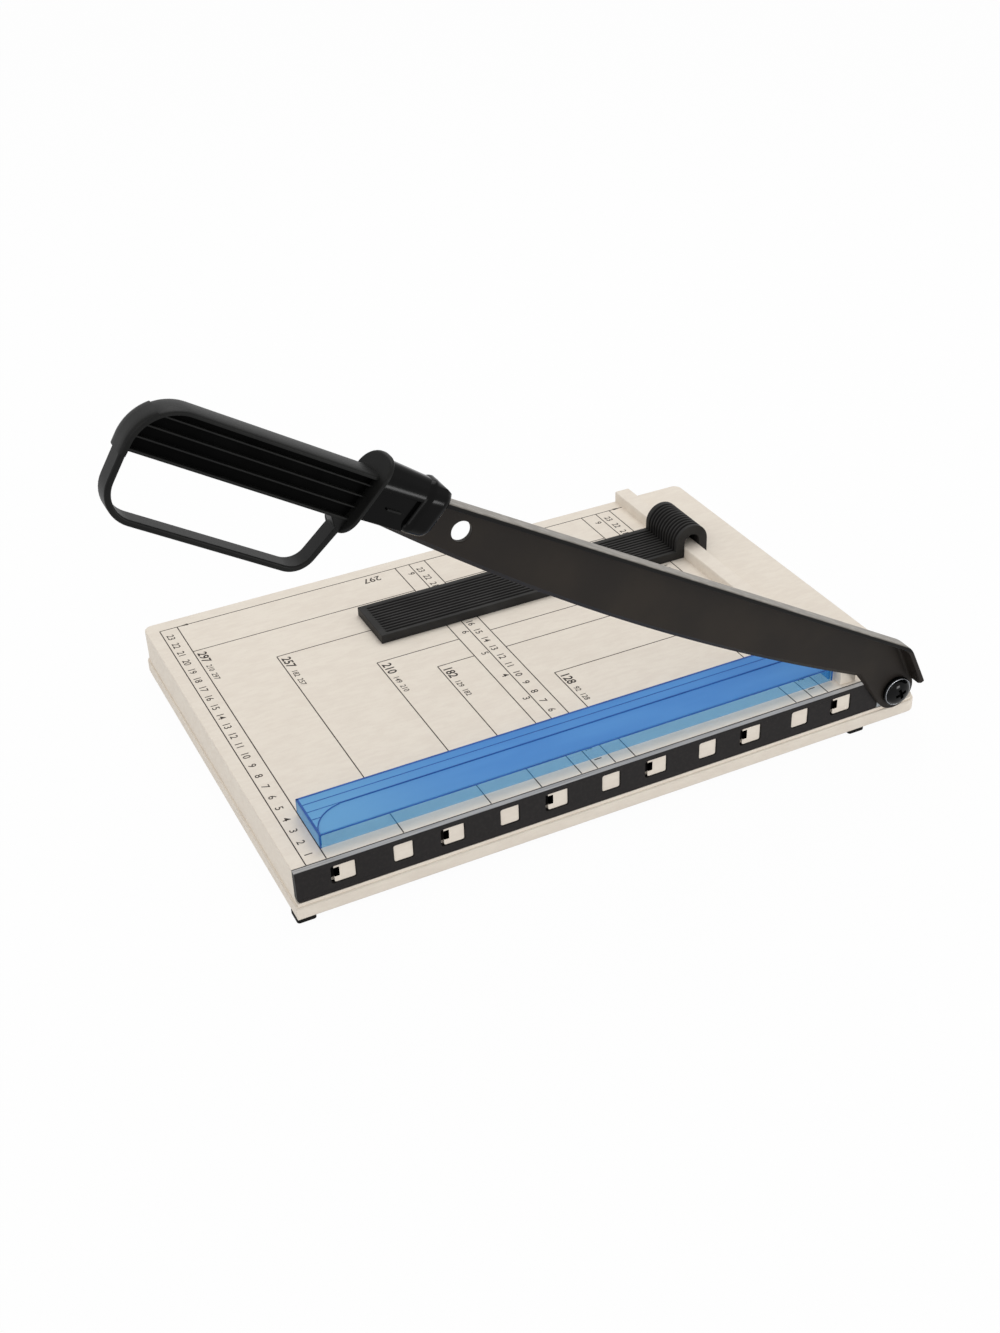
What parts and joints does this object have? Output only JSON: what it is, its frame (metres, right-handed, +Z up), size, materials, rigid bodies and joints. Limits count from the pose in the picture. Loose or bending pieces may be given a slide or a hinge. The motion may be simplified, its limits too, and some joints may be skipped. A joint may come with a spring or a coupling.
{
  "type": "paper cutter",
  "caption": "Lever paper cutter with a swinging blade on a loop handle, a fixed steel edge, a paper stop sliding on a fence and a sprung press bar.",
  "frame": {"origin": "middle of the whole cutter's box, on the surface it stands on, with the blade raised as stored", "axes": "+X along the cut towards the pivot, +Y from the cut line towards the back of the board, +Z up"},
  "size_m": [0.4211, 0.268, 0.2791],
  "materials": {
    "cream_plastic": "satin",
    "black_steel": "satin",
    "bare_steel": "satin",
    "black_plastic": "satin",
    "charcoal_plastic": "matte",
    "blue_plastic": "translucent",
    "black_rubber": "matte"
  },
  "bodies": {
    "base": {"deck": "cream_plastic", "tray": "cream_plastic", "feet": "black_rubber", "tray_screws": "bare_steel", "fixed_blade": "black_steel", "fixed_blade_screws": "bare_steel", "fence_rail": "cream_plastic", "fence_screws": "bare_steel", "pivot_bracket": "bare_steel", "bracket_screws": "bare_steel", "pivot_bolt": "black_steel", "pivot_washer": "bare_steel", "pivot_spring_washers": "bare_steel", "pivot_nut": "bare_steel", "press_springs": "bare_steel"},
    "arm": {"blade": "black_steel", "handle": "black_plastic", "handle_screws": "bare_steel"},
    "stop": {"paper_stop": "charcoal_plastic"},
    "press": {"press_bar": "blue_plastic", "press_pins": "bare_steel"}
  },
  "joints": [
    {"name": "blade_hinge", "type": "hinge", "parent": "base", "child": "arm", "pos_m": [0.19249, -0.11875, 0.023], "axis": [0, 1, 0], "range_deg": [-30.8, 45]},
    {"name": "stop_slide", "type": "slide", "parent": "base", "child": "stop", "axis": [0, 1, 0], "range_m": [-0.121, 0.049]},
    {"name": "press_lift", "type": "slide", "parent": "base", "child": "press", "axis": [0, 0, 1], "range_m": [-0.0012, 0], "stiffness_N_per_m": 400, "springref_m": 0.002, "deforming": ["press_springs"]}
  ]
}
